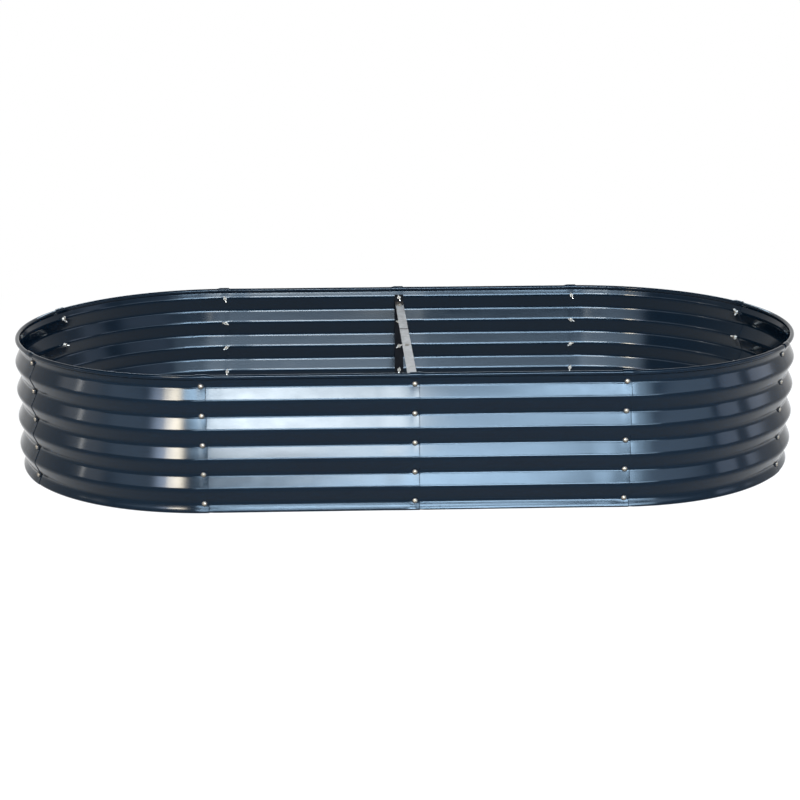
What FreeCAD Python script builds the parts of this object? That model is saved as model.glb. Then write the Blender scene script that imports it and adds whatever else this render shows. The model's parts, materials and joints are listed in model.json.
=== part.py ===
import FreeCAD, Part
import math
import os

# Raised garden bed: an open ring of corrugated sheet panels, two straight panels on each long side
# and three curved ones round each end. Every panel laps over the next one at a column of bolts,
# and two uprights joined by a flat cross brace stop the long sides from spreading.
# Millimetres, +Z up. The origin is on the ground, under the middle of the bed.

# Plan
bed_width = 900.0                # over the outermost corrugations at the laps
straight_hole_pitch = 441.5      # bolt column to bolt column on a straight panel
end_panels = 3                   # curved panels round each end

# Corrugated sheet
sheet = 0.8                      # thickness
rows = 5                         # bolt rows, one in each inward fold
row_pitch = 63.5                 # from one inward fold to the next
first_row = 20.0                 # height of the lowest inward fold
corrugation_depth = 13.0         # inward fold to outward fold
fold_radius = 9.0                # at mid thickness
foot_width = 8.0                 # flat turned-in flange that stands on the ground
foot_bend = 2.2                  # bend above the flange, at mid thickness

# Rolled rim
rim_rise = 19.6                  # rim centre above the top bolt row
rim_roll = 4.6                   # roll radius at mid thickness
rim_sweep = 300.0                # degrees of roll
rim_neck = 2.5                   # bend that carries the roll back over the wall
rim_neck_sweep = 85.0

# Laps between panels
lap_length = 20.0
lap_gap = 0.15                   # between the two sheets
lap_end_gap = 2.0                # from a sheet's edge to the bend in the sheet it lies on
joggle_length = 60.0             # over which the forward end eases outward
joggle_steps = 4
flare_length = 8.0               # over which the rim widens into its sleeve
sleeve_play = 0.5                # extra roll radius of the sleeve over the next rim
sleeve_sweep = 290.0

# Fasteners
shank = 5.0
hole = 6.0
head_width = 10.0
head_height = 3.0
recess_length = 5.0
recess_width = 1.1
recess_depth = 1.4
seal_width = 12.0
seal_edge = 0.5                  # thickness of the seal where it rides on the webs
seal_gap = 0.05
nut_base_width = 9.0
nut_top_width = 7.0
nut_height = 5.5
nut_clearance = 0.1              # between thread and nut, all round
nut_seat_gap = 0.05
wing_reach = 8.5                 # from the nut's centre
wing_thickness = 1.8
wing_rise = 9.5                  # wing tip above the nut's seat
wing_root = 2.0                  # height of the wing's lower root above the seat
wing_elbow = 5.2                 # height above the seat at which the wing reaches out fully
wing_tip_out = 7.8               # outer end of the wing's tip
wing_tip_in = 5.6                # inner end of the wing's tip
wing_tip_fall = 1.0              # from the outer end of the tip down to the inner one
wing_top_root = 2.8              # where the wing meets the nut's top face
wing_turn = 50.0                 # degrees from one nut to the next
thread_end = 1.5                 # shank past the nut

# Uprights and cross brace
upright_width = 22.0
upright_thickness = 2.5
upright_gap = 0.1                # to the inward folds
upright_foot = 6.0               # bottom end above the ground
upright_head = 6.0               # top end above the top bolt row
brace_width = 20.0
brace_thickness = 2.0
brace_drop = 11.0                # top of the brace below the top bolt row
brace_end_gap = 1.0              # bar end to the bracket's upright leg
bracket_leg = 72.0               # under the bar
bracket_head = 5.0               # upright leg above the top bolt row
bracket_bolt = 54.0              # from the bracket's upright leg
joint_end = 114.0                # end of the front bar, behind the middle
joint_gap = 5.0                  # from there to the rise of the rear bar
joint_bolt = -48.0               # bolt that joins the two bars, in front of the middle
joint_margin = 16.0              # rear bar past the joint bolt
joggle_run = 4.0                 # over which the rear bar dips under the front bar
bar_gap = 0.1                    # between the bars where they lap

# Worked out from the sizes above
half_pitch = row_pitch / 2
web_tilt = (math.atan2(corrugation_depth - 2 * fold_radius, half_pitch)
            + math.asin(2 * fold_radius / math.hypot(corrugation_depth - 2 * fold_radius, half_pitch)))
web_length = (half_pitch - 2 * fold_radius * math.sin(web_tilt)) / math.cos(web_tilt)
lap_spacing = sheet + lap_gap
lap_step = lap_spacing / math.cos(web_tilt)
fold_line = bed_width / 2 - lap_step - sheet / 2 - corrugation_depth   # inward folds, mid thickness
top_row = first_row + (rows - 1) * row_pitch
end_length = math.pi * fold_line
perimeter = 4 * straight_hole_pitch + 2 * end_length
seal_top = (lap_step + sheet / 2 + seal_gap + seal_edge
            + (fold_radius - sheet / 2) * (1 - math.cos(web_tilt))
            + (seal_width / 2 - (fold_radius - sheet / 2) * math.sin(web_tilt)) * math.tan(web_tilt))

panel_names = ["front_left", "front_right", "right_front", "right_end", "right_rear",
               "rear_right", "rear_left", "left_rear", "left_end", "left_front"]
seam_names = ["front_left", "front_middle", "front_right", "right_front", "right_rear",
              "rear_right", "rear_middle", "rear_left", "left_rear", "left_front"]


class SheetLine:
    """A line through the middle of a bent sheet, in the plane of outward distance and height."""

    def __init__(self, out, up, heading):
        self.at = FreeCAD.Vector(out, 0, up)
        self.heading = heading
        self.sides = {1: [], -1: []}

    def across(self):
        return FreeCAD.Vector(-math.sin(self.heading), 0, math.cos(self.heading))

    def line(self, length):
        end = self.at + FreeCAD.Vector(math.cos(self.heading), 0, math.sin(self.heading)) * length
        for side, edges in self.sides.items():
            shift = self.across() * (side * sheet / 2)
            edges.append(Part.LineSegment(self.at + shift, end + shift).toShape())
        self.at = end

    def bend(self, radius, sweep):
        """Turn by sweep degrees, to the left where it is positive."""
        way = math.copysign(1, sweep)
        centre = self.at + self.across() * (way * radius)
        spokes = []
        for share in (0, 0.5, 1):
            angle = self.heading + math.radians(sweep) * share
            spokes.append(FreeCAD.Vector(math.sin(angle), 0, -math.cos(angle)) * way)
        for side, edges in self.sides.items():
            reach = radius - way * side * sheet / 2
            edges.append(Part.Arc(*[centre + spoke * reach for spoke in spokes]).toShape())
        self.at = centre + spokes[-1] * radius
        self.heading += math.radians(sweep)

    def outline(self):
        left = self.sides[1]
        right = self.sides[-1]
        caps = []
        for first, second in ((left[0].firstVertex(True), right[0].firstVertex(True)),
                              (left[-1].lastVertex(True), right[-1].lastVertex(True))):
            caps.append(Part.LineSegment(first.Point, second.Point).toShape())
        ordered = left + [caps[1]] + right[::-1] + [caps[0]]
        return Part.Wire(Part.__sortEdges__(ordered))


def sheet_section(nested=False):
    """Closed outline of the sheet. The nested one lies inside a sheet that is a lap step further out."""
    inset = lap_spacing if nested else 0.0
    play = sleeve_play if nested else 0.0
    tilt = math.degrees(web_tilt)
    foot_height = sheet / 2 + inset
    bend_radius = foot_bend - inset
    bend_end = foot_height + bend_radius * (1 + math.sin(web_tilt))
    fold_start = first_row - fold_radius * math.sin(web_tilt)
    bend_end_out = (fold_radius * (1 - math.cos(web_tilt))
                    + (fold_start - bend_end) * math.tan(web_tilt))
    path = SheetLine(bend_end_out - bend_radius * math.cos(web_tilt) - foot_width, foot_height, 0)
    path.line(foot_width)
    path.bend(bend_radius, 90 + tilt)
    path.line((fold_start - bend_end) / math.cos(web_tilt))
    path.bend(fold_radius, -2 * tilt)
    for _ in range(rows - 1):
        path.line(web_length)
        path.bend(fold_radius, 2 * tilt)
        path.line(web_length)
        path.bend(fold_radius, -2 * tilt)
    neck_rise = (rim_neck * math.sin(web_tilt)
                 - (rim_neck + rim_roll) * math.sin(web_tilt - math.radians(rim_neck_sweep)))
    stem = (rim_rise - fold_radius * math.sin(web_tilt) - neck_rise) / math.cos(web_tilt)
    if nested:
        stem += lap_step * math.sin(web_tilt)
    path.line(stem)
    path.bend(rim_neck - inset, rim_neck_sweep)
    sweep = sleeve_sweep if nested else rim_sweep
    for _ in range(2):
        path.bend(rim_roll + inset + play, -sweep / 2)
    return path.outline()


def place_on_line(distance, outward=0.0):
    """Placement whose X points outward and Y forward, at a distance along the line of inward folds."""
    run = distance % perimeter
    back = run >= perimeter / 2
    run = run % (perimeter / 2)
    if run <= 2 * straight_hole_pitch:
        facing = -90.0
        point = FreeCAD.Vector(run - straight_hole_pitch, -fold_line - outward, 0)
    else:
        angle = (run - 2 * straight_hole_pitch) / fold_line
        facing = math.degrees(angle) - 90
        reach = fold_line + outward
        point = FreeCAD.Vector(straight_hole_pitch + reach * math.sin(angle), -reach * math.cos(angle), 0)
    if back:
        facing += 180
        point = FreeCAD.Vector(-point.x, -point.y, 0)
    return FreeCAD.Placement(point, FreeCAD.Rotation(FreeCAD.Vector(0, 0, 1), facing))


def placed(shape, placement):
    copy = shape.copy()
    copy.Placement = placement.multiply(copy.Placement)
    return copy


def corners_between(start, end):
    """Distances between start and end where the line changes from straight to round or back."""
    corners = []
    for lap in (-1, 0, 1):
        for half in (0, 1):
            base = (lap + half / 2) * perimeter
            corners += [base, base + 2 * straight_hole_pitch]
    return [corner for corner in sorted(corners) if start + 0.01 < corner < end - 0.01]


def wall_faces(section, start, end, outward=0.0):
    """Faces swept by a section along the line of folds, between two distances."""
    faces = []
    stops = [start] + corners_between(start, end) + [end]
    for first, last in zip(stops, stops[1:]):
        middle = place_on_line((first + last) / 2)
        wire = placed(section, place_on_line(first + 1e-9, outward))
        run = ((first + last) / 2) % (perimeter / 2)
        if run <= 2 * straight_hole_pitch:
            forward = middle.Rotation.multVec(FreeCAD.Vector(0, last - first, 0))
            faces += wire.extrude(forward).Faces
        else:
            side = 1 if middle.Base.x > 0 else -1
            centre = FreeCAD.Vector(side * straight_hole_pitch, 0, 0)
            turn = math.degrees((last - first) / fold_line)
            faces += wire.revolve(centre, FreeCAD.Vector(0, 0, 1), turn).Faces
    return faces


def loft_faces(first_section, first_at, last_section, last_at):
    ends = [placed(first_section, place_on_line(*first_at)), placed(last_section, place_on_line(*last_at))]
    return Part.makeLoft(ends, False, True).Faces


def joggle_faces(section, start, end):
    """Faces of the section while it eases outward by one lap step, gently at both ends."""
    faces = []
    last_at = (start, 0)
    for number in range(1, joggle_steps + 1):
        share = number / joggle_steps
        at = (start + (end - start) * share, lap_step * share * share * (3 - 2 * share))
        faces += loft_faces(section, last_at, section, at)
        last_at = at
    return faces


def seam_distances():
    """Distance of each bolt column along the line of folds, once round the bed."""
    half = [0.0, straight_hole_pitch, 2 * straight_hole_pitch]
    for joint in range(1, end_panels):
        half.append(2 * straight_hole_pitch + joint * end_length / end_panels)
    return half + [distance + perimeter / 2 for distance in half]


def drill(distance, depth=30.0):
    """Bolt holes of one column, straight through the sheets."""
    tools = []
    for row in range(rows):
        start = FreeCAD.Vector(-depth / 2, 0, first_row + row * row_pitch)
        tools.append(Part.makeCylinder(hole / 2, depth, start, FreeCAD.Vector(1, 0, 0)))
    return placed(Part.makeCompound(tools), place_on_line(distance))


def panel(start_seam, end_seam):
    plain = sheet_section()
    sleeve = sheet_section(nested=True)
    back_edge = start_seam - lap_length / 2
    sleeve_end = start_seam + lap_length / 2 + lap_end_gap
    core_start = sleeve_end + flare_length
    step_end = end_seam - lap_length / 2 - lap_end_gap
    core_end = step_end - joggle_length
    front_edge = end_seam + lap_length / 2
    faces = wall_faces(sleeve, back_edge, sleeve_end)
    faces += loft_faces(sleeve, (sleeve_end, 0), plain, (core_start, 0))
    faces += wall_faces(plain, core_start, core_end)
    faces += joggle_faces(plain, core_end, step_end)
    faces += wall_faces(plain, step_end, front_edge, lap_step)
    faces.append(Part.Face(placed(sleeve, place_on_line(back_edge))))
    faces.append(Part.Face(placed(plain, place_on_line(front_edge, lap_step))))
    shell = Part.makeShell(faces)
    shell.sewShape()
    body = Part.makeSolid(shell)
    if body.Volume < 0:
        body.reverse()
    return body.cut([drill(start_seam), drill(end_seam)])


def dome_bolt(seat, tip):
    """Bolt along X: the head's flat face at seat, the shank's end at tip."""
    half = head_width / 2
    bulge = (half ** 2 + head_height ** 2) / (2 * head_height)
    rise = math.asin(half / bulge) / 2
    shoulder = FreeCAD.Vector(seat, half, 0)
    crown = FreeCAD.Vector(seat + head_height, 0, 0)
    middle = FreeCAD.Vector(seat + head_height - bulge * (1 - math.cos(rise)), bulge * math.sin(rise), 0)
    corners = [FreeCAD.Vector(tip, 0, 0), FreeCAD.Vector(tip, shank / 2, 0),
               FreeCAD.Vector(seat, shank / 2, 0), shoulder]
    edges = [Part.LineSegment(a, b).toShape() for a, b in zip(corners, corners[1:])]
    edges.append(Part.Arc(shoulder, middle, crown).toShape())
    edges.append(Part.LineSegment(crown, corners[0]).toShape())
    body = Part.Face(Part.Wire(edges)).revolve(FreeCAD.Vector(0, 0, 0), FreeCAD.Vector(1, 0, 0), 360)
    slot = Part.makeBox(recess_depth + 1, recess_length, recess_width)
    slot.translate(FreeCAD.Vector(seat + head_height - recess_depth, -recess_length / 2, -recess_width / 2))
    cross = slot.copy()
    cross.rotate(FreeCAD.Vector(0, 0, 0), FreeCAD.Vector(1, 0, 0), 90)
    return body.cut([slot, cross])


def rubber_seal():
    """Rubber seal under a head, pressed to the shape of the fold that it sits in."""
    blank = Part.makeCylinder(seal_width / 2, seal_top - lap_step, FreeCAD.Vector(lap_step, 0, 0),
                              FreeCAD.Vector(1, 0, 0))
    bore = Part.makeCylinder(hole / 2, seal_top, FreeCAD.Vector(0, 0, 0), FreeCAD.Vector(1, 0, 0))
    apex = lap_step + sheet / 2 + seal_gap
    radius = fold_radius - sheet / 2
    tangent_up = radius * math.sin(web_tilt)
    tangent_out = apex + radius * (1 - math.cos(web_tilt))
    top_out = tangent_out + (seal_width - tangent_up) * math.tan(web_tilt)
    corners = [(0, -seal_width), (top_out, -seal_width), (tangent_out, -tangent_up)]
    lower = [FreeCAD.Vector(out, -seal_width, up) for out, up in corners]
    upper = [FreeCAD.Vector(point.x, point.y, -point.z) for point in lower[::-1]]
    edges = [Part.LineSegment(a, b).toShape() for a, b in zip(lower, lower[1:])]
    edges.append(Part.Arc(lower[-1], FreeCAD.Vector(apex, -seal_width, 0), upper[0]).toShape())
    edges += [Part.LineSegment(a, b).toShape() for a, b in zip(upper, upper[1:])]
    edges.append(Part.LineSegment(upper[-1], lower[0]).toShape())
    fold = Part.Face(Part.Wire(edges)).extrude(FreeCAD.Vector(0, 2 * seal_width, 0))
    return blank.cut([bore, fold])


def wing_nut(seat, turn):
    """Wing nut along X, on the inner side of seat, turned by an angle about the bolt."""
    inward = FreeCAD.Vector(-1, 0, 0)
    at = FreeCAD.Vector(seat, 0, 0)
    body = Part.makeCone(nut_base_width / 2, nut_top_width / 2, nut_height, at, inward)
    outline = [(wing_root, 0), (wing_root, nut_base_width / 2), (wing_elbow, wing_reach),
               (wing_rise, wing_tip_out), (wing_rise - wing_tip_fall, wing_tip_in),
               (nut_height, wing_top_root), (nut_height, 0)]
    corners = [FreeCAD.Vector(seat - height, reach, 0) for height, reach in outline]
    blade = Part.Face(Part.makePolygon(corners + corners[:1]))
    blade.translate(FreeCAD.Vector(0, 0, -wing_thickness / 2))
    wing = blade.extrude(FreeCAD.Vector(0, 0, wing_thickness))
    other = wing.copy()
    other.rotate(FreeCAD.Vector(0, 0, 0), FreeCAD.Vector(1, 0, 0), 180)
    thread = Part.makeCylinder(shank / 2 + nut_clearance, wing_rise + 2,
                               FreeCAD.Vector(seat + 1, 0, 0), inward)
    nut = body.fuse([wing, other]).cut(thread).removeSplitter()
    nut.rotate(FreeCAD.Vector(0, 0, 0), FreeCAD.Vector(1, 0, 0), turn)
    return nut


def nut_seat(seam, row):
    """Outward distance of the face that a nut of this seam and row is tightened against."""
    seat = -sheet / 2
    if "middle" in seam:
        seat -= upright_gap + upright_thickness
        if row == rows - 1:
            seat -= brace_thickness
    return seat - nut_seat_gap


def seam_fasteners(seam, distance):
    bolts = []
    seals = []
    nuts = []
    for row in range(rows):
        at = place_on_line(distance)
        at.Base.z = first_row + row * row_pitch
        seat = nut_seat(seam, row)
        bolts.append(placed(dome_bolt(seal_top, seat - nut_height - thread_end), at))
        seals.append(placed(rubber_seal(), at))
        nuts.append(placed(wing_nut(seat, wing_turn * (row + 1)), at))
    return {"bolts_" + seam: bolts, "seals_" + seam: seals, "wing_nuts_" + seam: nuts}


def upright():
    """Flat bar behind the inward folds of the middle seam, as it stands at the rear wall."""
    outer = fold_line - sheet / 2 - upright_gap
    height = top_row + upright_head - upright_foot
    bar = Part.makeBox(upright_width, upright_thickness, height,
                       FreeCAD.Vector(-upright_width / 2, outer - upright_thickness, upright_foot))
    tools = []
    for row in range(rows):
        start = FreeCAD.Vector(0, outer + 1, first_row + row * row_pitch)
        tools.append(Part.makeCylinder(hole / 2, upright_thickness + 2, start, FreeCAD.Vector(0, -1, 0)))
    return bar.cut(tools)


def bracket_face():
    return fold_line - sheet / 2 - upright_gap - upright_thickness


def brace_top():
    return top_row - brace_drop


def bracket():
    """Angle that carries the brace, bolted up at the top row, as it stands at the rear wall."""
    face = bracket_face()
    low = brace_top() - 2 * brace_thickness
    high = top_row + bracket_head
    outline = [(face, high), (face, low), (face - bracket_leg, low),
               (face - bracket_leg, low + brace_thickness), (face - brace_thickness, low + brace_thickness),
               (face - brace_thickness, high)]
    points = [FreeCAD.Vector(-brace_width / 2, back, up) for back, up in outline]
    body = Part.Face(Part.makePolygon(points + points[:1])).extrude(FreeCAD.Vector(brace_width, 0, 0))
    wall_hole = Part.makeCylinder(hole / 2, 3 * brace_thickness,
                                  FreeCAD.Vector(0, face + brace_thickness, top_row), FreeCAD.Vector(0, -1, 0))
    return body.cut([wall_hole, brace_hole(face - bracket_bolt)])


def brace_hole(back):
    """Vertical bolt hole through the brace and what is under it."""
    depth = 8 * brace_thickness
    return Part.makeCylinder(hole / 2, depth, FreeCAD.Vector(0, back, brace_top() + brace_thickness),
                             FreeCAD.Vector(0, 0, -1))


def bar_end():
    return bracket_face() - brace_thickness - brace_end_gap


def bar(outline, holes):
    points = [FreeCAD.Vector(-brace_width / 2, back, up) for back, up in outline]
    body = Part.Face(Part.makePolygon(points + points[:1])).extrude(FreeCAD.Vector(brace_width, 0, 0))
    return body.cut([brace_hole(back) for back in holes])


def front_bar():
    top = brace_top()
    outline = [(-bar_end(), top), (-bar_end(), top - brace_thickness),
               (joint_end, top - brace_thickness), (joint_end, top)]
    return bar(outline, [bracket_bolt - bracket_face(), joint_bolt])


def rear_bar():
    """Level with the front bar, then dipping under it where the two lap."""
    top = brace_top()
    dip = brace_thickness + bar_gap
    end = joint_bolt - joint_margin
    low_start = joint_end + joint_gap
    high_stop = low_start + joggle_run
    outline = [(bar_end(), top), (high_stop, top), (low_start, top - dip), (end, top - dip),
               (end, top - dip - brace_thickness), (low_start, top - dip - brace_thickness),
               (high_stop, top - brace_thickness), (bar_end(), top - brace_thickness)]
    return bar(outline, [bracket_face() - bracket_bolt, joint_bolt])


def brace_fasteners():
    """Upright bolts through the brace, heads up, with wing nuts below."""
    bolts = []
    nuts = []
    stacks = [(bracket_face() - bracket_bolt, 2 * brace_thickness),
              (bracket_bolt - bracket_face(), 2 * brace_thickness),
              (joint_bolt, 2 * brace_thickness + bar_gap)]
    for number, (back, thickness) in enumerate(stacks):
        seat = -thickness - nut_seat_gap
        at = FreeCAD.Placement(FreeCAD.Vector(0, back, brace_top()),
                               FreeCAD.Rotation(FreeCAD.Vector(0, 1, 0), -90))
        bolts.append(placed(dome_bolt(0, seat - nut_height - thread_end), at))
        nuts.append(placed(wing_nut(seat, wing_turn * number), at))
    return {"brace_bolts": bolts, "brace_wing_nuts": nuts}


def turned(shape):
    """The same piece at the other side of the bed, half a turn round."""
    copy = shape.copy()
    copy.rotate(FreeCAD.Vector(0, 0, 0), FreeCAD.Vector(0, 0, 1), 180)
    return copy


def build():
    seams = seam_distances()
    nodes = {}
    for number, name in enumerate(panel_names):
        following = seams[number + 1] if number + 1 < len(seams) else perimeter
        nodes["panel_" + name] = [panel(seams[number], following)]
    for name, distance in zip(seam_names, seams):
        nodes.update(seam_fasteners(name, distance))
    nodes["upright_rear"] = [upright()]
    nodes["upright_front"] = [turned(upright())]
    nodes["bracket_rear"] = [bracket()]
    nodes["bracket_front"] = [turned(bracket())]
    nodes["brace_bar_rear"] = [rear_bar()]
    nodes["brace_bar_front"] = [front_bar()]
    nodes.update(brace_fasteners())
    return nodes


def main():
    os.makedirs("parts", exist_ok=True)
    for name, pieces in build().items():
        for piece in pieces:
            assert piece.isValid() and piece.Volume > 0, name
        shape = pieces[0] if len(pieces) == 1 else Part.makeCompound(pieces)
        shape.exportStep("parts/" + name + ".step")
        solids = len(shape.Solids)
        box = shape.BoundBox
        print(f"{name:28s} solids {solids} volume {shape.Volume:10.1f} z {box.ZMin:7.2f} {box.ZMax:7.2f}")


main()
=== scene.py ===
import json
import math

import bpy
from bpy.props import FloatProperty, FloatVectorProperty, IntProperty, PointerProperty
from mathutils import Matrix, Vector

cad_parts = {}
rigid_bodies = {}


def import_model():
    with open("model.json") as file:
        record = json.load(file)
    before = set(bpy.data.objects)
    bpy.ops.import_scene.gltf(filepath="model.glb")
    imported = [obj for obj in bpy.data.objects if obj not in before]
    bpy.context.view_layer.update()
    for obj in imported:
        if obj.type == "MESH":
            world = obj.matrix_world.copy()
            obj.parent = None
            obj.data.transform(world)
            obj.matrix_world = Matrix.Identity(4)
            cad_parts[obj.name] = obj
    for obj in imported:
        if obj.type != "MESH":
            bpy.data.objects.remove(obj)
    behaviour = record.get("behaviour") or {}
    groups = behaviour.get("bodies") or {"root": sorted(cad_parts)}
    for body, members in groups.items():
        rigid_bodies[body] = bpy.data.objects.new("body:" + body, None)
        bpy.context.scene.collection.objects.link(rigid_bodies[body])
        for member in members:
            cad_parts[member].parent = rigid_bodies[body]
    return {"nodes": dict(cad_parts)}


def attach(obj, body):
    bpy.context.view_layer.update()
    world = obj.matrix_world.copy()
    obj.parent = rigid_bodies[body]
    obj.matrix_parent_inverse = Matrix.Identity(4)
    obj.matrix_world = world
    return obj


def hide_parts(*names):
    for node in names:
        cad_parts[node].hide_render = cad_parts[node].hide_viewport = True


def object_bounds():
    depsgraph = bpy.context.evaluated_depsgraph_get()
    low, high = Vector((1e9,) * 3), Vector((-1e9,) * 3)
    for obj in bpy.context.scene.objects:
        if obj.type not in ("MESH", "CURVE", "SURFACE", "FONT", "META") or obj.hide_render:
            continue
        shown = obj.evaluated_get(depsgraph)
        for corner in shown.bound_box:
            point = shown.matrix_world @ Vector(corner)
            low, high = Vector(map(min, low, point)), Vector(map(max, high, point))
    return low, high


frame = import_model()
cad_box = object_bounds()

bl_info = {
    "name": "Raised garden bed",
    "version": (1, 0, 0),
    "blender": (4, 5, 0),
    "location": "View3D > Sidebar > Garden bed",
    "description": "Bends the panels of an oval raised garden bed, bolts them together and lights them",
    "category": "Add Mesh",
}

MM = 0.001
KEY_LIGHT = "#d6edff"
UP = Vector((0, 0, 1))

# Each panel that is bent, and the one across the bed that is its copy, turned half round.
STRAIGHT = {"panel_front_left": "panel_rear_right", "panel_front_right": "panel_rear_left"}
CURVED = {"panel_right_front": "panel_left_rear", "panel_right_end": "panel_left_end",
          "panel_right_rear": "panel_left_front"}
# The bent panels in the order of their seams, to the right along the front and round the end.
PANEL_ORDER = ["panel_front_left", "panel_front_right",
               "panel_right_front", "panel_right_end", "panel_right_rear"]

FRAME_WIDTH = (cad_box[1][1] - cad_box[0][1]) / MM    # millimetres
EDGE_EASE = math.radians(4.6)     # the webs lean this much less beside the folds, which catches the light
EDGE_STRIP = 2.2 * MM             # width of those edges of the webs
NECK_SWEEP = 85                   # degrees of the bend that carries the rolled rim back over the wall
RIM_SWEEP = 300                   # degrees of the rolled rim
SLEEVE_SWEEP = 290                # degrees of the sleeve that slips over it
FINE_STEP = 4 * MM                # along the wall, beside its ends and bends
COARSE_STEP = 11 * MM             # along the open wall
SMOOTH_ANGLE = math.radians(22)   # shaded smooth over the bends and sharp at the sheet's edges

FLOOR_RADIUS = 3.4
FLOOR_DROP = 0.4 * MM             # keeps the floor off the feet's faces
CAMERA_PLACE = (-0.16330, -3.92186, 1.18960)
CAMERA_TURN = (2.1753, 15.2415, -0.1579)    # degrees of yaw, of pitch downwards and of roll
CAMERA_LENS = 78.53

# Points of the bed that the lamps face, in metres.
FRONT = (0.0, -0.44, 0.15)
REAR = (0.0, 0.44, 0.15)
LEFT_END = (-0.7, 0.0, 0.15)
RIGHT_END = (0.7, 0.0, 0.15)
RIGHT_CORNER = (0.7, -0.36, 0.2)
LEFT_INSIDE = (-0.65, 0.35, 0.2)
LEFT_INSIDE_LOW = (-0.7, 0.2, 0.2)

# Softboxes that the gloss paint mirrors: name, place, point faced, width, height, radiance, tint, the shares
# of its sides over which it fades, and its brightness from one end to the other.
LAMPS = [
    ("key_left", (-0.27, -4.445, 3.12), FRONT, 1.07, 0.46, 118.0, "#fffcf8", (0.02, 0.3), (1.0, 0.45)),
    ("key_right", (0.8875, -4.445, 3.18), FRONT, 1.325, 0.46, 34.0, KEY_LIGHT, (0.06, 0.4)),
    ("key_corner", (1.1, -4.445, 3.32), FRONT, 0.9, 0.3, 40.0, KEY_LIGHT, (0.4, 0.4)),
    ("key_end", (1.45, -4.445, 3.15), FRONT, 0.5, 0.6, 30.0, KEY_LIGHT, (0.4, 0.3)),
    ("key_tail", (1.95, -4.445, 3.05), FRONT, 1.5, 0.9, 34.0, KEY_LIGHT, (0.2, 0.3), (1.0, 0.05)),
    ("key_side", (-1.375, -4.445, 3.28), FRONT, 1.35, 0.38, 60.0, KEY_LIGHT, (0.22, 0.3), (0.8, 1.0)),
    ("side_tail", (-2.85, -4.445, 3.1), FRONT, 1.5, 0.9, 24.0, "#e4ecff", (0.5, 0.25)),
    ("key_low", (0.45, -4.445, 2.78), FRONT, 1.9, 0.28, 60.0, KEY_LIGHT, (0.35, 0.3)),
    ("foot_strip", (0.1, -4.445, 2.5), FRONT, 1.7, 0.26, 80.0, KEY_LIGHT, (0.05, 0.3), (1.0, 0.6)),
    ("low_strip", (-0.55, -4.445, 2.1), FRONT, 1.3, 0.4, 28.0, KEY_LIGHT, (0.05, 0.2)),
    ("fold_strip", (1.4, -4.445, 1.95), FRONT, 2.6, 0.62, 74.0, KEY_LIGHT, (0.03, 0.2), (1.0, 0.1)),
    ("warm_strip", (-2.25, -4.4, 3.0), FRONT, 0.9, 1.0, 105.0, "#ffe4c4", (0.5, 0.2)),
    ("upper", (-1.45, -4.6, 4.25), FRONT, 4.7, 0.9, 11.5, "#e4f2ff", (0.2, 0.2), (0.5, 1.0)),
    ("upper_right", (1.2, -4.445, 3.98), FRONT, 2.8, 0.6, 10.0, "#e4f2ff", (0.2, 0.4), (1.0, 0.5)),
    ("upper_glint", (0.1, -4.445, 4.36), FRONT, 0.35, 0.22, 50.0, "#fff2e0", (0.5, 0.5)),
    ("left_fill", (-4.6, -3.6, 3.1), LEFT_END, 4.2, 1.4, 3.0, "#e2ecfa", (0.35, 0.3)),
    ("left_side", (-5.4, -0.9, 2.35), LEFT_END, 3.6, 1.5, 2.2, "#fff6f0", (0.25, 0.25)),
    ("left_glint", (-5.0, -0.89, 2.0), LEFT_END, 0.24, 1.2, 20.0, "#fff2e4", (0.5, 0.3)),
    ("inside_fill", (3.4, -2.9, 4.2), LEFT_INSIDE, 4.5, 1.6, 2.0, "#e4ecff", (0.3, 0.3)),
    ("inside_end", (5.4, 0.1, 3.2), LEFT_INSIDE_LOW, 2.6, 1.4, 1.6, "#e4ecff", (0.3, 0.3)),
    ("rear_key", (0.0, 4.445, 3.1), REAR, 4.2, 0.7, 16.0, KEY_LIGHT, (0.2, 0.4)),
    ("right_side", (5.4, -1.4, 2.1), RIGHT_CORNER, 1.4, 1.6, 3.5, "#e4ecff", (0.1, 0.3)),
    ("right_end", (5.4, 0.8, 1.7), RIGHT_CORNER, 2.0, 1.6, 3.0, "#e4ecff", (0.1, 0.3)),
    ("right_fill", (4.3, -3.9, 3.1), RIGHT_END, 4.6, 1.4, 5.0, "#dcecff", (0.15, 0.3), (1.0, 0.7)),
]


def linear(code):
    """Linear light of a colour written as sRGB hex."""
    shares = [int(code[start:start + 2], 16) / 255 for start in (1, 3, 5)]
    return [share / 12.92 if share <= 0.04045 else ((share + 0.055) / 1.055) ** 2.4 for share in shares]


def length(name, description, millimetres):
    return FloatProperty(name=name, description=description, default=millimetres * MM, min=0, precision=5,
                         subtype="DISTANCE", unit="LENGTH")


def colour(name, description, code):
    return FloatVectorProperty(name=name, description=description, default=linear(code), min=0, max=1,
                               size=3, subtype="COLOR")


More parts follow.
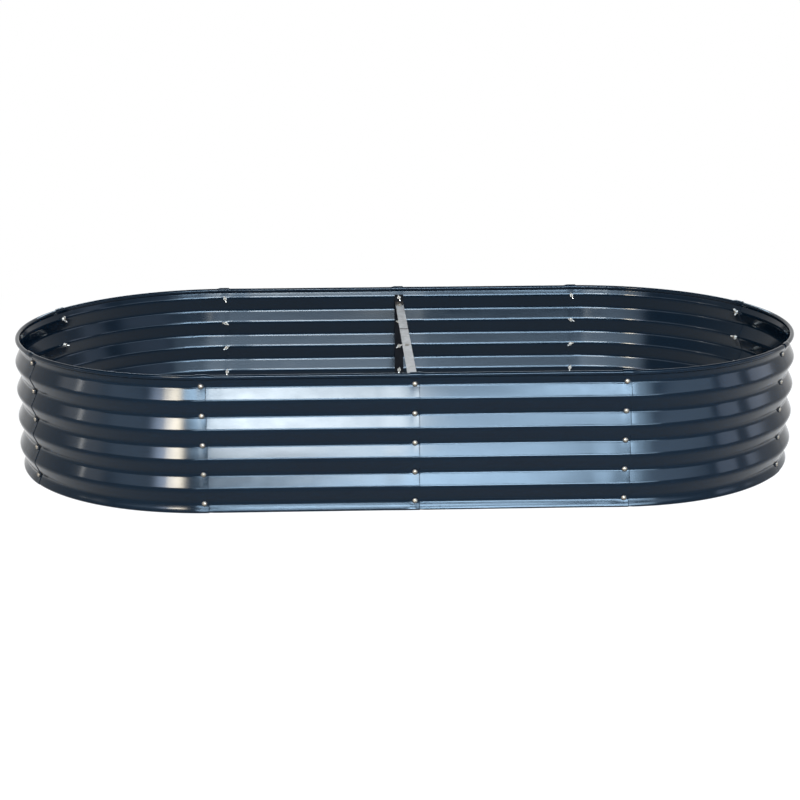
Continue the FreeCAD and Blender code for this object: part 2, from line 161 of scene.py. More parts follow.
class GardenBedSheet(bpy.types.PropertyGroup):
    """Sizes of the bent sheet that all panels share."""
    thickness: length("Thickness", "Thickness of the sheet", 0.8)
    width: length("Width", "From the front of the bed to its rear, as the frame gives it", FRAME_WIDTH)
    row_pitch: length("Row pitch", "From one row of bolts to the next", 63.5)
    first_row: length("First row", "Height of the lowest row of bolts", 20.0)
    depth: length("Corrugation depth", "From the inward folds to the outward folds", 13.0)
    fold_radius: length("Fold radius", "Bend radius of the folds at mid thickness", 9.0)
    foot_width: length("Foot width", "Flat flange that stands on the ground", 8.0)
    foot_bend: length("Foot bend", "Bend radius above the foot at mid thickness", 2.2)
    rim_roll: length("Rim roll", "Radius of the rolled rim at mid thickness", 4.6)
    rim_rise: length("Rim rise", "From the top row of bolts to the middle of the rim", 19.6)
    rim_neck: length("Rim neck", "Bend radius below the rim at mid thickness", 2.5)
    rows: IntProperty(name="Rows", description="Rows of bolts from the ground to the rim", default=5, min=2)


class GardenBedPlan(bpy.types.PropertyGroup):
    """Sizes of the bed seen from above, and of its laps."""
    bolt_pitch: length("Bolt pitch", "From one bolt column to the next on a long side", 441.5)
    lap: length("Lap", "How far one panel lies over the next", 20.0)
    joggle: length("Joggle", "Length over which a panel eases outwards before its lap", 60.0)
    lap_gap: length("Lap gap", "Clearance between the two sheets of a lap", 0.15)
    end_gap: length("End gap", "From a sheet's edge to the bend in the sheet it lies on", 2.0)
    flare: length("Flare", "Length over which the rim widens into its sleeve", 8.0)
    sleeve_play: length("Sleeve play", "Extra radius of the sleeve over the rim inside it", 0.5)
    stand_off: length("Stand-off", "How far the free edge of a lap stands off the next panel", 0.35)
    sheared: length("Sheared edge", "Strip at the end of a lap that leans back in", 1.2)
    shear_drop: length("Shear drop", "How far that strip leans back in", 0.55)
    dent: length("Dent", "How far a tightened bolt draws the sheet in", 0.3)


class GardenBedColours(bpy.types.PropertyGroup):
    """Colours of the bed's finishes."""
    paint: colour("Panel paint", "Gloss powder coat of the panels", "#020a13")
    paint_sheen: colour("Paint sheen", "Tint of the light that the gloss paint throws back", "#e1f1ff")
    upright_paint: colour("Upright paint", "Satin enamel of the uprights and brackets", "#08090c")
    galvanised: colour("Galvanised steel", "Brace", "#756e69")
    zinc: colour("Zinc plate", "Wing nuts", "#d4d2cd")
    bolt: colour("Bolt zinc", "Yellowish zinc plate of the bolts", "#958e83")
    rubber: colour("Rubber", "Seals under the bolt heads", "#15161a")


def sizes():
    return bpy.context.scene.garden_bed_sheet


def plan():
    return bpy.context.scene.garden_bed_plan


def colours():
    return bpy.context.scene.garden_bed_colours


# ---------------------------------------------------------------- the line of the wall

def web_tilt():
    """Lean of the flat webs between two folds, in radians."""
    sheet = sizes()
    rise = sheet.row_pitch / 2
    across = sheet.depth - 2 * sheet.fold_radius
    return math.atan2(across, rise) + math.asin(2 * sheet.fold_radius / math.hypot(across, rise))


def lap_spacing():
    return sizes().thickness + plan().lap_gap


def lap_step():
    return lap_spacing() / math.cos(web_tilt())


def fold_line():
    """From the middle of the bed to the inward folds of a long side. What is left of half the width is the
    corrugation, half the sheet and the step outwards at a lap."""
    sheet = sizes()
    return sheet.width / 2 - sheet.depth - sheet.thickness / 2 - lap_step()


def top_row():
    return sizes().first_row + (sizes().rows - 1) * sizes().row_pitch


def end_length():
    return math.pi * fold_line()


def perimeter():
    return 4 * plan().bolt_pitch + 2 * end_length()


def seam_distances():
    """Distance of each bolt column along the inward folds, from the front left one round the bed."""
    pitch = plan().bolt_pitch
    half = [0.0, pitch, 2 * pitch, 2 * pitch + end_length() / 3, 2 * pitch + end_length() * 2 / 3]
    return half + [distance + perimeter() / 2 for distance in half]


def wall_place(distance):
    """Point on the line of inward folds, and its outward and forward directions."""
    pitch = plan().bolt_pitch
    reach = fold_line()
    run = distance % perimeter()
    side = -1 if run >= perimeter() / 2 else 1
    run = run % (perimeter() / 2)
    if run <= 2 * pitch:
        point = Vector((run - pitch, -reach, 0))
        outward = Vector((0, -1, 0))
    else:
        angle = (run - 2 * pitch) / reach
        outward = Vector((math.sin(angle), -math.cos(angle), 0))
        point = Vector((pitch, 0, 0)) + outward * reach
    return point * side, outward * side, UP.cross(outward) * side


def wall_runs(start, end):
    """Pieces of the way from start to end, each all straight or all on one curve."""
    half = perimeter() / 2
    straight = 2 * plan().bolt_pitch
    shortest = 0.001 * MM                     # a corner this near an end is that end
    corners = []
    for side in range(-1, 4):
        corners += [side * half, side * half + straight]
    stops = [start] + [corner for corner in corners if start + shortest < corner < end - shortest] + [end]
    runs = []
    for first, last in zip(stops, stops[1:]):
        middle = ((first + last) / 2) % half
        runs.append((first, last, middle > straight))
    return runs


# ---------------------------------------------------------------- modelling by hand

def only(*objects):
    """Leave nothing else selected, and work on the first of these."""
    bpy.ops.object.select_all(action="DESELECT")
    for piece in objects:
        piece.select_set(True)
    bpy.context.view_layer.objects.active = objects[0]


def finish_piece(piece, body, slot, finish, *nodes):
    """Give a piece its finish, and let it stand for its solids in the frame."""
    piece.data.materials.clear()
    piece.data.materials.append(finish)
    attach(piece, body)
    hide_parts(*nodes)


def apply_modifier(piece, kind, **settings):
    modifier = piece.modifiers.new(kind.title(), kind)
    for name, value in settings.items():
        setattr(modifier, name, value)
    only(piece)
    bpy.ops.object.modifier_apply(modifier=modifier.name)


class BendLine:
    """A bent line drawn point by point in edit mode, in the plane of an outward direction and height."""

    def __init__(self, origin, outward, out, up, heading):
        self.origin = origin
        self.outward = outward
        self.out = out
        self.up = up
        self.heading = math.radians(heading)
        bpy.ops.mesh.select_all(action="DESELECT")
        bpy.ops.mesh.primitive_plane_add(size=1 * MM, location=(0, 0, 0))
        bpy.ops.mesh.merge(type="CENTER")
        bpy.ops.transform.translate(value=self.place(out, up))

    def place(self, out, up):
        return self.origin + self.outward * out + UP * up

    def go_to(self, out, up):
        """Straight to a point, leaving in that direction."""
        step = self.outward * (out - self.out) + UP * (up - self.up)
        self.heading = math.atan2(up - self.up, out - self.out)
        bpy.ops.mesh.extrude_region_move(TRANSFORM_OT_translate={"value": step})
        self.out = out
        self.up = up

    def go(self, distance):
        self.go_to(self.out + distance * math.cos(self.heading), self.up + distance * math.sin(self.heading))

    def bend(self, radius, degrees, steps):
        """Round a bend, to the left where degrees is positive."""
        way = math.copysign(radius, degrees)
        centre_out = self.out - way * math.sin(self.heading)
        centre_up = self.up + way * math.cos(self.heading)
        bpy.ops.mesh.spin(steps=steps, angle=math.radians(degrees), center=self.place(centre_out, centre_up),
                          axis=UP.cross(self.outward))
        self.heading += math.radians(degrees)
        self.out = centre_out + way * math.sin(self.heading)
        self.up = centre_up - way * math.cos(self.heading)


def sheet_line(distance, nested=False):
    """Draw the sheet's section at one distance round the wall, from its foot to its rolled rim. The nested
    one lies inside the panel before it, and its rim is the sleeve that slips over that panel's."""
    sheet = sizes()
    point, outward = wall_place(distance)[:2]
    tilt = web_tilt()
    lean = tilt - EDGE_EASE
    fold_sweep = 2 * math.degrees(lean)
    fold_steps = 8
    bend_steps = 6
    roll_steps = 28
    support = 1.0 * MM                        # flat of the web that keeps its middle's shading true
    inset = lap_spacing() if nested else 0.0
    radius = sheet.fold_radius
    fold_start = sheet.first_row - radius * math.sin(lean)
    foot_radius = sheet.foot_bend - inset
    foot_height = sheet.thickness / 2 + inset
    low = foot_height + foot_radius * (1 + math.sin(tilt))
    low_web = sheet.first_row - radius * math.sin(tilt) - low
    low_out = radius * (1 - math.cos(tilt)) + low_web * math.tan(tilt)
    start = low_out - foot_radius * math.cos(tilt) - sheet.foot_width
    line = BendLine(point, outward, start, foot_height, 0)
    line.go(sheet.foot_width)
    line.bend(foot_radius, 90 + math.degrees(tilt), bend_steps)
    edge_out = radius * (1 - math.cos(lean)) + EDGE_STRIP * math.sin(lean)
    edge_up = radius * math.sin(lean) + EDGE_STRIP * math.cos(lean)
    line.go_to((edge_out + line.out) / 2, (sheet.first_row - edge_up + line.up) / 2)
    line.go_to(edge_out, sheet.first_row - edge_up)
    line.go_to(radius * (1 - math.cos(lean)), fold_start)
    line.heading = math.pi / 2 + lean
    line.bend(radius, -fold_sweep, fold_steps)
    for row in range(1, sheet.rows):
        crest = sheet.first_row + (row - 0.5) * sheet.row_pitch
        valley = sheet.first_row + row * sheet.row_pitch
        for way, far_out, far_up in ((1, sheet.depth - edge_out, crest - edge_up),
                                     (-1, edge_out, valley - edge_up)):
            line.go(EDGE_STRIP)
            across = Vector((far_out - line.out, far_up - line.up))
            shoulder = across.normalized() * support
            line.go_to(line.out + shoulder.x, line.up + shoulder.y)
            line.go_to(far_out - shoulder.x, far_up - shoulder.y)
            line.go_to(far_out, far_up)
            line.heading = math.pi / 2 - way * lean
            line.go(EDGE_STRIP)
            line.bend(radius, way * fold_sweep, fold_steps)
    neck = sheet.rim_neck
    roll = sheet.rim_roll
    neck_rise = neck * math.sin(tilt) - (neck + roll) * math.sin(tilt - math.radians(NECK_SWEEP))
    stem = (sheet.rim_rise - radius * math.sin(tilt) - neck_rise) / math.cos(tilt)
    if nested:
        stem += lap_step() * math.sin(tilt)
    line.go(EDGE_STRIP)
    line.go_to(radius * (1 - math.cos(tilt)) + stem * math.sin(tilt),
               top_row() + radius * math.sin(tilt) + stem * math.cos(tilt))
    line.heading = math.pi / 2 - tilt
    line.bend(neck - inset, NECK_SWEEP, bend_steps)
    play = plan().sleeve_play if nested else 0.0
    line.bend(roll + inset + play, -SLEEVE_SWEEP if nested else -RIM_SWEEP, roll_steps)
    bpy.ops.mesh.select_linked()


def sweep(start, end, step):
    """Carry the selected line along the wall, and leave its last place selected."""
    for first, last, curved in wall_runs(start, end):
        count = max(1, round((last - first) / step))
        if curved:
            middle = wall_place((first + last) / 2)[0]
            centre = Vector((math.copysign(plan().bolt_pitch, middle.x), 0, 0))
            bpy.ops.mesh.spin(steps=count, angle=-(last - first) / fold_line(), center=centre, axis=UP)
        else:
            forward = wall_place((first + last) / 2)[2]
            for _ in range(count):
                bpy.ops.mesh.extrude_region_move(
                    TRANSFORM_OT_translate={"value": forward * ((last - first) / count)})


def joggle(start, end):
    """Carry the selected line along the wall while it steps outwards over the next panel's end."""
    steps = 8
    share_before = 0.0
    for number in range(steps):
        first = start + (end - start) * number / steps
        last = start + (end - start) * (number + 1) / steps
        share = (number + 1) / steps
        share = share * share * (3 - 2 * share)
        sweep(first, last, end - start)
        outward = wall_place(last)[1]
        bpy.ops.transform.translate(value=outward * lap_step() * (share - share_before))
        share_before = share


def keep_line(piece, name):
    """Remember the selected line under a name."""
    bpy.ops.object.vertex_group_add()
    piece.vertex_groups.active.name = name
    bpy.ops.object.vertex_group_assign()


def select_line(*names):
    bpy.ops.mesh.select_all(action="DESELECT")
    for name in names:
        bpy.ops.object.vertex_group_set_active(group=name)
        bpy.ops.object.vertex_group_select()


def bolt_sides(start_seam, end_seam):
    """Points on the webs above and below each bolt of a panel, with the outward direction there."""
    sheet = sizes()
    beside_bolt = 9 * MM
    web_out = 3 * MM                          # how far the webs lie outside the inward folds there
    points = []
    for seam, out_by in ((start_seam, 0.0), (end_seam, lap_step())):
        point, outward = wall_place(seam)[:2]
        for row in range(sheet.rows):
            for side in (-1, 1):
                height = sheet.first_row + row * sheet.row_pitch + side * beside_bolt
                points.append((point + outward * (out_by + web_out) + UP * height, outward))
    return points


def pull_in(points, depth, radius):
    """Draw the sheet inwards round each point, as a tightened bolt does."""
    piece = bpy.context.object
    for point, outward in points:
        bpy.ops.object.mode_set(mode="OBJECT")
        near = min(piece.data.vertices, key=lambda vertex: (vertex.co - point).length)
        near.select = True
        bpy.ops.object.mode_set(mode="EDIT")
        bpy.ops.transform.translate(value=outward * -depth, use_proportional_edit=True,
                                    proportional_edit_falloff="SMOOTH", proportional_size=radius)
        bpy.ops.mesh.select_all(action="DESELECT")


def spring_open(piece, seam, lift):
    """Let the free end of a lap stand off the sheet under it, from just behind the bolts to its edge."""
    sheet = sizes()
    point, _, forward = wall_place(seam)
    behind = 12 * MM                          # from here the sheet leaves the one under it
    reach = 45 * MM                           # what is further from the seam is another part of the panel
    rim_fade = 8 * MM                         # over this height the rim takes over and holds the sheet
    crest_fade = 0.2                          # share of the row pitch beside a crest, which stays in place
    free = piece.vertex_groups.new(name="free_end")
    for vertex in piece.data.vertices:
        along = (vertex.co - point).dot(forward)
        near = (vertex.co - point - UP * vertex.co.z).length < reach
        if near and along > -behind and vertex.co.z > sheet.first_row / 2:
            share = (along + behind) / (behind + plan().lap / 2)
            below_rim = min(1.0, max(0.0, (top_row() - vertex.co.z) / rim_fade))
            fold = (vertex.co.z - sheet.first_row) / sheet.row_pitch % 1.0
            beside_crest = min(1.0, abs(fold - 0.5) / crest_fade)
            free.add([vertex.index], min(1.0, share) * below_rim * beside_crest, "REPLACE")
    apply_modifier(piece, "DISPLACE", vertex_group="free_end", mid_level=0.0, strength=lift)
    piece.vertex_groups.clear()


def panel(name, start_seam, end_seam):
    """Bend one panel: its start with the sleeve, inside the panel before it, then the wall, and its end that
    steps outwards over the next panel."""
    sheet = sizes()
    ring = plan()
    back_edge = start_seam - ring.lap / 2
    sleeve_end = start_seam + ring.lap / 2 + ring.end_gap
    core_start = sleeve_end + ring.flare
    wall_start = core_start + 5 * FINE_STEP
    step_end = end_seam - ring.lap / 2 - ring.end_gap
    core_end = step_end - ring.joggle
    wall_end = core_end - 2 * FINE_STEP
    front_edge = end_seam + ring.lap / 2
    bpy.ops.object.select_all(action="DESELECT")
    bpy.ops.mesh.primitive_plane_add(size=1 * MM, location=(0, 0, 0))
    piece = bpy.context.object
    piece.name = name
    bpy.ops.object.mode_set(mode="EDIT")
    bpy.ops.mesh.delete(type="VERT")
    sheet_line(back_edge, nested=True)
    sweep(back_edge, sleeve_end, FINE_STEP)
    keep_line(piece, "sleeve_end")
    sheet_line(core_start)
    keep_line(piece, "core_start")
    select_line("sleeve_end", "core_start")
    bpy.ops.mesh.bridge_edge_loops(type="SINGLE")
    select_line("core_start")
    sweep(core_start, wall_start, FINE_STEP)
    sweep(wall_start, wall_end, COARSE_STEP)
    sweep(wall_end, core_end, FINE_STEP)
    joggle(core_end, step_end)
    sweep(step_end, front_edge - ring.sheared, FINE_STEP)
    sweep(front_edge - ring.sheared, front_edge, FINE_STEP)
    bpy.ops.transform.translate(value=wall_place(front_edge)[1] * -ring.shear_drop)
    bpy.ops.object.vertex_group_remove(all=True)
    bpy.ops.mesh.select_all(action="DESELECT")
    pull_in(bolt_sides(start_seam, end_seam), ring.dent, radius=13 * MM)
    bpy.ops.mesh.select_all(action="SELECT")
    bpy.ops.mesh.normals_make_consistent(inside=False)
    bpy.ops.object.mode_set(mode="OBJECT")
    middle, outward = wall_place((start_seam + end_seam) / 2)[:2]
    crest = middle + outward * sheet.depth + UP * (sheet.first_row + sheet.row_pitch / 2)
    near = min(piece.data.vertices, key=lambda vertex: (vertex.co - crest).length)
    if near.normal.dot(outward) < 0:
        piece.data.flip_normals()
    spring_open(piece, end_seam, ring.stand_off)
    apply_modifier(piece, "SOLIDIFY", thickness=sheet.thickness, offset=0, use_even_offset=True)
    bpy.ops.object.shade_smooth_by_angle(angle=SMOOTH_ANGLE)
    return piece


def half_turn(piece, name):
    """A copy of a piece at the other side of the bed."""
    only(piece)
    bpy.ops.object.duplicate()
    copy = bpy.context.object
    copy.name = name
    copy.rotation_euler.z = math.pi
    bpy.ops.object.transform_apply(location=True, rotation=True, scale=True)
    return copy


def bend_panels(pairs):
    """Bend the first panel of each pair, and turn a copy of it round to the place of the second."""
    seams = seam_distances()
    for name, far_name in pairs.items():
        number = PANEL_ORDER.index(name)
        piece = panel(name + "_sheet", seams[number], seams[number + 1])
        far = half_turn(piece, far_name + "_sheet")
        finish_piece(piece, "root", "panel_paint", gloss_powder_coat(), name)
        finish_piece(far, "root", "panel_paint", gloss_powder_coat(), far_name)


# ---------------------------------------------------------------- finishes

def add(tree, kind, settings=None, **links):
    """Add a node with its settings, and link or set the sockets that are named or numbered."""
    made = tree.nodes.new(kind)
    for name, value in (settings or {}).items():
        setattr(made, name, value)
    for name, value in links.items():
        number = name[1:] if name[0] == "_" else None
        socket = made.inputs[int(number)] if number else made.inputs[name.replace("_", " ")]
        if isinstance(value, bpy.types.NodeSocket):
            tree.links.new(value, socket)
        else:
            socket.default_value = value
    return made


def new_finish(name):
    """A material with an empty tree, and its object coordinates."""
    finish = bpy.data.materials.get(name)
    if finish:
        return finish, None, None
    finish = bpy.data.materials.new(name)
    finish.use_nodes = True
    tree = finish.node_tree
    tree.nodes.clear()
    place = add(tree, "ShaderNodeTexCoord").outputs["Object"]
    return finish, tree, place


def close_finish(tree, shader):
    add(tree, "ShaderNodeOutputMaterial", Surface=shader.outputs[0])


def rgba(shade, strength=1.0):
    return [channel * strength for channel in shade] + [1.0]


def gloss_powder_coat():
    """Powder-coated galvanised sheet, baked to a gloss: deep navy, near black where it mirrors nothing
    and pale blue where it mirrors a lamp, over the faint orange peel and slow waves of roll-formed sheet.
    The clouds in its colour are 140 mm, the waves 200 by 60 mm, the smears 36 mm, the rolling streaks 4 mm
    and the orange peel 2.4 mm."""
    finish, tree, place = new_finish("gloss_powder_coated_sheet")
    if not tree:
        return finish
    cloud = add(tree, "ShaderNodeTexNoise", _0=place, Scale=7.0, Detail=3.0)
    shade = add(tree, "ShaderNodeMix", {"data_type": "RGBA"}, _0=cloud.outputs[0])
    shade.inputs[6].default_value = rgba(colours().paint, 0.8)
    shade.inputs[7].default_value = rgba(colours().paint, 1.2)
    smear = add(tree, "ShaderNodeTexNoise", _0=place, Scale=28.0, Detail=5.0, Roughness=0.6)
    rough = add(tree, "ShaderNodeMapRange", _0=smear.outputs[0], _1=0.3, _2=0.75, _3=0.11, _4=0.15)
    peel = add(tree, "ShaderNodeTexNoise", _0=place, Scale=420.0, Detail=2.0)
    wave_place = add(tree, "ShaderNodeMapping", _0=place, Scale=(5.0, 5.0, 16.0))
    wave = add(tree, "ShaderNodeTexNoise", _0=wave_place.outputs[0], Scale=1.0, Detail=2.0, Roughness=0.55)
    waves = add(tree, "ShaderNodeBump", Strength=1.0, Distance=0.2 * MM, Height=wave.outputs[0])
    streak_place = add(tree, "ShaderNodeMapping", _0=place, Scale=(5.0, 5.0, 240.0))
    streak = add(tree, "ShaderNodeTexNoise", _0=streak_place.outputs[0], Scale=1.0, Detail=3.0)
    streaks = add(tree, "ShaderNodeBump", Strength=1.0, Distance=0.006 * MM, Height=streak.outputs[0],
                  Normal=waves.outputs[0])
    skin = add(tree, "ShaderNodeBump", Strength=0.12, Distance=0.02 * MM, Height=peel.outputs[0],
               Normal=streaks.outputs[0])
    shader = add(tree, "ShaderNodeBsdfPrincipled", Base_Color=shade.outputs[2], Roughness=rough.outputs[0],
                 Normal=skin.outputs[0], Specular_IOR_Level=0.16,
                 Specular_Tint=rgba(colours().paint_sheen))
    close_finish(tree, shader)
    return finish


def satin_enamel():
    """Satin black enamel on a sheared flat bar: soft broad sheen, slightly uneven over 17 mm. Its grain
    of about 0.2 mm is drawn coarser, at 1.1 mm."""
    finish, tree, place = new_finish("satin_black_enamel_on_flat_bar")
    if not tree:
        return finish
    cloud = add(tree, "ShaderNodeTexNoise", _0=place, Scale=60.0, Detail=4.0)
    shade = add(tree, "ShaderNodeMix", {"data_type": "RGBA"}, _0=cloud.outputs[0])
    shade.inputs[6].default_value = rgba(colours().upright_paint, 0.7)
    shade.inputs[7].default_value = rgba(colours().upright_paint, 1.3)
    rough = add(tree, "ShaderNodeMapRange", _0=cloud.outputs[0], _1=0.3, _2=0.7, _3=0.34, _4=0.5)
    grain = add(tree, "ShaderNodeTexNoise", _0=place, Scale=900.0, Detail=2.0)
    skin = add(tree, "ShaderNodeBump", Strength=0.3, Distance=0.03 * MM, Height=grain.outputs[0])
    shader = add(tree, "ShaderNodeBsdfPrincipled", Base_Color=shade.outputs[2], Roughness=rough.outputs[0],
                 Normal=skin.outputs[0], Specular_IOR_Level=0.06)
    close_finish(tree, shader)
    return finish


def galvanised_steel():
    """Hot-dip galvanised flat bar: dull grey with faint spangle, crystals about 9 mm across, and cloudy
    patches of 4 mm."""
    finish, tree, place = new_finish("hot_dip_galvanised_flat_bar")
    if not tree:
        return finish
    crystals = add(tree, "ShaderNodeTexVoronoi", _0=place, Scale=110.0, Randomness=1.0)
    cells = add(tree, "ShaderNodeSeparateColor", _0=crystals.outputs["Color"])
    cloud = add(tree, "ShaderNodeTexNoise", _0=place, Scale=260.0, Detail=4.0)
    blend = add(tree, "ShaderNodeMath", {"operation": "MULTIPLY_ADD"}, _0=cells.outputs[0], _1=0.6,
                _2=cloud.outputs[0])
    shade = add(tree, "ShaderNodeMix", {"data_type": "RGBA"}, _0=blend.outputs[0])
    shade.inputs[6].default_value = rgba(colours().galvanised, 0.8)
    shade.inputs[7].default_value = rgba(colours().galvanised, 1.15)
    rough = add(tree, "ShaderNodeMapRange", _0=blend.outputs[0], _1=0.3, _2=1.1, _3=0.5, _4=0.38)
    skin = add(tree, "ShaderNodeBump", Strength=0.35, Distance=0.03 * MM, Height=cloud.outputs[0])
    shader = add(tree, "ShaderNodeBsdfPrincipled", Base_Color=shade.outputs[2], Metallic=1.0,
                 Roughness=rough.outputs[0], Normal=skin.outputs[0])
    close_finish(tree, shader)
    return finish


def zinc_plate(name, tone, roughness):
    """Zinc-plated fasteners, cold headed or cast: a metal glint broken up by the grain of barrel tumbling,
    which is about 0.2 mm and drawn coarser, at 1.4 mm."""
    finish, tree, place = new_finish(name)
    if not tree:
        return finish
    cloud = add(tree, "ShaderNodeTexNoise", _0=place, Scale=700.0, Detail=3.0)
    shade = add(tree, "ShaderNodeMix", {"data_type": "RGBA"}, _0=cloud.outputs[0])
    shade.inputs[6].default_value = rgba(tone, 0.85)
    shade.inputs[7].default_value = rgba(tone, 1.1)
    dull = add(tree, "ShaderNodeMapRange", _0=cloud.outputs[0], _1=0.3, _2=0.7, _3=roughness[0],
               _4=roughness[1])
    skin = add(tree, "ShaderNodeBump", Strength=0.3, Distance=0.02 * MM, Height=cloud.outputs[0])
    shader = add(tree, "ShaderNodeBsdfPrincipled", Base_Color=shade.outputs[2], Metallic=1.0,
                 Roughness=dull.outputs[0], Normal=skin.outputs[0])
    close_finish(tree, shader)
    return finish


def moulded_rubber():
    """Moulded EPDM rubber: dull near black with the texture of its mould, which is about 0.1 mm and drawn
    coarser, at 0.7 mm."""
    finish, tree, place = new_finish("moulded_rubber_seal")
    if not tree:
        return finish
    grain = add(tree, "ShaderNodeTexNoise", _0=place, Scale=1400.0, Detail=3.0)
    shade = add(tree, "ShaderNodeMix", {"data_type": "RGBA"}, _0=grain.outputs[0])
    shade.inputs[6].default_value = rgba(colours().rubber, 0.7)
    shade.inputs[7].default_value = rgba(colours().rubber, 1.4)
    rough = add(tree, "ShaderNodeMapRange", _0=grain.outputs[0], _1=0.3, _2=0.7, _3=0.6, _4=0.8)
    skin = add(tree, "ShaderNodeBump", Strength=0.4, Distance=0.03 * MM, Height=grain.outputs[0])
    shader = add(tree, "ShaderNodeBsdfPrincipled", Base_Color=shade.outputs[2], Roughness=rough.outputs[0],
                 Normal=skin.outputs[0])
    close_finish(tree, shader)
    return finish


def refinish(node, finish):
    """Give a node of the frame, whose shape is right as it is, its finish."""
    for slot in frame["nodes"][node].material_slots:
        slot.material = finish


# ---------------------------------------------------------------- operators

class GARDENBED_OT_straight_panels(bpy.types.Operator):
    """Bend the four straight corrugated panels"""
    bl_idname = "garden_bed.straight_panels"
    bl_label = "Straight panels"
    bl_options = {"REGISTER", "UNDO"}

    def execute(self, context):
        bend_panels(STRAIGHT)
        return {"FINISHED"}


class GARDENBED_OT_curved_panels(bpy.types.Operator):
    """Bend the six curved corrugated panels round the ends"""
    bl_idname = "garden_bed.curved_panels"
    bl_label = "Curved panels"
    bl_options = {"REGISTER", "UNDO"}

    def execute(self, context):
        bend_panels(CURVED)
        return {"FINISHED"}


class GARDENBED_OT_fasteners(bpy.types.Operator):
    """Finish the bolts, seals, wing nuts, uprights and brace"""
    bl_idname = "garden_bed.fasteners"
    bl_label = "Fasteners and brace"
    bl_options = {"REGISTER", "UNDO"}

    def execute(self, context):
        for name in frame["nodes"]:
            if name.startswith("panel"):
                continue
            if name.startswith("seals"):
                refinish(name, moulded_rubber())
            elif name.startswith(("upright", "bracket")):
                refinish(name, satin_enamel())
            elif name.startswith("brace_bar"):
                refinish(name, galvanised_steel())
            elif "bolts" in name:
                refinish(name, zinc_plate("yellowish_zinc_plated_bolt", colours().bolt, (0.3, 0.42)))
            else:
                refinish(name, zinc_plate("dull_zinc_plated_wing_nut", colours().zinc, (0.5, 0.65)))
        return {"FINISHED"}


def softbox(name, place, aim, width, height, radiance, tint, feather, ends=(1.0, 1.0)):
    """A rectangular lamp that faces a point and fades towards its edges, over these shares of its sides,
    and from one end's brightness to the other's."""
    lamp = bpy.data.lights.new(name, "AREA")
    lamp.shape = "RECTANGLE"
    lamp.size = width
    lamp.size_y = height
    lamp.energy = 4 * width * height * radiance
    lamp.color = linear(tint)
    lamp.use_nodes = True
    tree = lamp.node_tree
    tree.nodes.clear()
    narrowest_fade = 0.001
    across = add(tree, "ShaderNodeSeparateXYZ", _0=add(tree, "ShaderNodeTexCoord").outputs["UV"])
    fade = add(tree, "ShaderNodeMapRange", _0=across.outputs[0], _1=0.0, _2=1.0, _3=ends[0], _4=ends[1])
    for side, share in enumerate(feather):
        centred = add(tree, "ShaderNodeMath", {"operation": "PINGPONG"}, _0=across.outputs[side], _1=0.5)
        edge = add(tree, "ShaderNodeMapRange", {"interpolation_type": "SMOOTHSTEP"}, _0=centred.outputs[0],
                   _1=0.0, _2=max(share, narrowest_fade), _3=0.0, _4=1.0)
        fade = add(tree, "ShaderNodeMath", {"operation": "MULTIPLY"}, _0=fade.outputs[0], _1=edge.outputs[0])
    light = add(tree, "ShaderNodeEmission", Strength=fade.outputs[0])
    add(tree, "ShaderNodeOutputLight", Surface=light.outputs[0])
    holder = bpy.data.objects.new(name, lamp)
    holder.location = place
    holder.rotation_euler = (Vector(aim) - Vector(place)).to_track_quat("-Z", "Y").to_euler()
    holder.visible_camera = False
    bpy.context.collection.objects.link(holder)


def seen_directly(tree):
    """One where a camera, a gloss or glass sees the surface, and nothing where it only gives light."""
    path = add(tree, "ShaderNodeLightPath")
    gloss = add(tree, "ShaderNodeMath", {"operation": "MAXIMUM"}, _0=path.outputs["Is Camera Ray"],
                _1=path.outputs["Is Glossy Ray"])
    seen = add(tree, "ShaderNodeMath", {"operation": "MAXIMUM"}, _0=gloss.outputs[0],
               _1=path.outputs["Is Transmission Ray"])
    return seen.outputs[0]


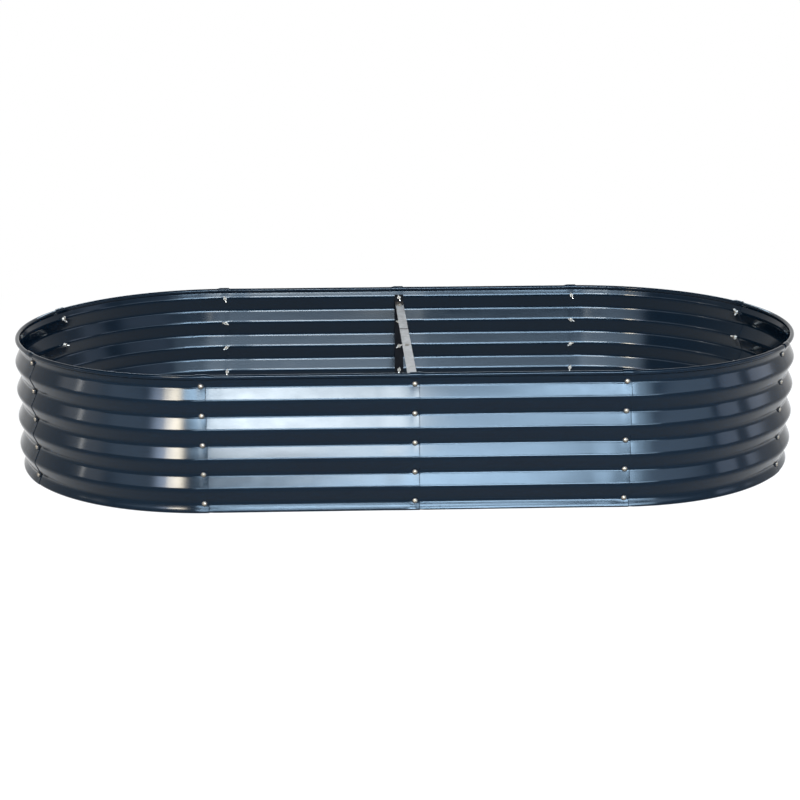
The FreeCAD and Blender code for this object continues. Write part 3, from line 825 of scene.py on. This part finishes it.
class GARDENBED_OT_stage(bpy.types.Operator):
    """Lay the pale floor, hang the lamps and set the camera"""
    bl_idname = "garden_bed.stage"
    bl_label = "Stage"
    bl_options = {"REGISTER", "UNDO"}

    def execute(self, context):
        scene = bpy.context.scene
        bpy.ops.object.select_all(action="DESELECT")
        bpy.ops.mesh.primitive_circle_add(vertices=96, radius=FLOOR_RADIUS, fill_type="NGON",
                                          location=(0, 0, -FLOOR_DROP))
        floor = bpy.context.object
        floor.name = "floor"
        bpy.ops.object.transform_apply(location=True, rotation=True, scale=True)
        paper, tree, place = new_finish("pale_studio_floor")
        diffuse = add(tree, "ShaderNodeBsdfDiffuse", Color=rgba(linear("#f4f4f4")))
        glow = add(tree, "ShaderNodeEmission", Color=rgba((1, 1, 1)), Strength=1.0)
        seen = seen_directly(tree)
        from_bed = add(tree, "ShaderNodeVectorMath", {"operation": "LENGTH"}, _0=place)
        # Round the bed the floor is partly lit paper, which keeps the bed's shadow, and further out white.
        clear = add(tree, "ShaderNodeMapRange", _0=from_bed.outputs["Value"], _1=1.1, _2=2.2, _3=0.86, _4=1.0)
        share = add(tree, "ShaderNodeMath", {"operation": "MULTIPLY"}, _0=seen, _1=clear.outputs[0])
        both = add(tree, "ShaderNodeMixShader", _0=share.outputs[0], _1=diffuse.outputs[0],
                   _2=glow.outputs[0])
        close_finish(tree, both)
        floor.data.materials.append(paper)

        world = bpy.data.worlds.new("soft_studio")
        world.use_nodes = True
        tree = world.node_tree
        tree.nodes.clear()
        seen = seen_directly(tree)
        way = add(tree, "ShaderNodeSeparateXYZ", _0=add(tree, "ShaderNodeTexCoord").outputs["Generated"])
        # White up to 20 degrees above the horizon, as the backdrop, and a dim ceiling from 44 degrees.
        ceiling = add(tree, "ShaderNodeMapRange", _0=way.outputs[2], _1=0.34, _2=0.7, _3=1.0, _4=0.15)
        level = add(tree, "ShaderNodeMix", _0=seen, _2=0.25, _3=ceiling.outputs[0])
        sky = add(tree, "ShaderNodeBackground", Color=rgba((1, 1, 1)), Strength=level.outputs[0])
        add(tree, "ShaderNodeOutputWorld", Surface=sky.outputs[0])
        scene.world = world

        for lamp in LAMPS:
            softbox(*lamp)

        camera = bpy.data.cameras.new("camera")
        camera.sensor_width = 36.0
        camera.lens = CAMERA_LENS
        camera.clip_end = 100.0
        holder = bpy.data.objects.new("camera", camera)
        yaw, pitch, roll = (math.radians(angle) for angle in CAMERA_TURN)
        level_view = Vector((math.sin(yaw), math.cos(yaw), 0))
        side = Vector((math.cos(yaw), -math.sin(yaw), 0))
        view = level_view * math.cos(pitch) - UP * math.sin(pitch)
        top = level_view * math.sin(pitch) + UP * math.cos(pitch)
        right = side * math.cos(roll) + top * math.sin(roll)
        above = top * math.cos(roll) - side * math.sin(roll)
        turn = Matrix((right, above, -view)).transposed()
        holder.matrix_world = Matrix.Translation(CAMERA_PLACE) @ turn.to_4x4()
        bpy.context.collection.objects.link(holder)
        scene.camera = holder
        scene.view_settings.view_transform = "Standard"
        return {"FINISHED"}


STEPS = [GARDENBED_OT_straight_panels, GARDENBED_OT_curved_panels, GARDENBED_OT_fasteners, GARDENBED_OT_stage]


class GARDENBED_PT_panel(bpy.types.Panel):
    """The steps that make the garden bed, in order"""
    bl_idname = "GARDENBED_PT_panel"
    bl_label = "Raised garden bed"
    bl_space_type = "VIEW_3D"
    bl_region_type = "UI"
    bl_category = "Garden bed"

    def draw(self, context):
        scene = context.scene
        for group in (scene.garden_bed_sheet, scene.garden_bed_plan, scene.garden_bed_colours):
            box = self.layout.box()
            for name in group.__annotations__:
                box.prop(group, name)
        for step in STEPS:
            self.layout.operator(step.bl_idname)


CLASSES = [GardenBedSheet, GardenBedPlan, GardenBedColours] + STEPS + [GARDENBED_PT_panel]


def register():
    for made in CLASSES:
        bpy.utils.register_class(made)
    bpy.types.Scene.garden_bed_sheet = PointerProperty(type=GardenBedSheet)
    bpy.types.Scene.garden_bed_plan = PointerProperty(type=GardenBedPlan)
    bpy.types.Scene.garden_bed_colours = PointerProperty(type=GardenBedColours)


def unregister():
    del bpy.types.Scene.garden_bed_colours
    del bpy.types.Scene.garden_bed_plan
    del bpy.types.Scene.garden_bed_sheet
    for made in reversed(CLASSES):
        bpy.utils.unregister_class(made)


def main():
    register()
    bpy.ops.garden_bed.straight_panels()
    bpy.ops.garden_bed.curved_panels()
    bpy.ops.garden_bed.fasteners()
    bpy.ops.garden_bed.stage()


if __name__ == "__main__":
    main()
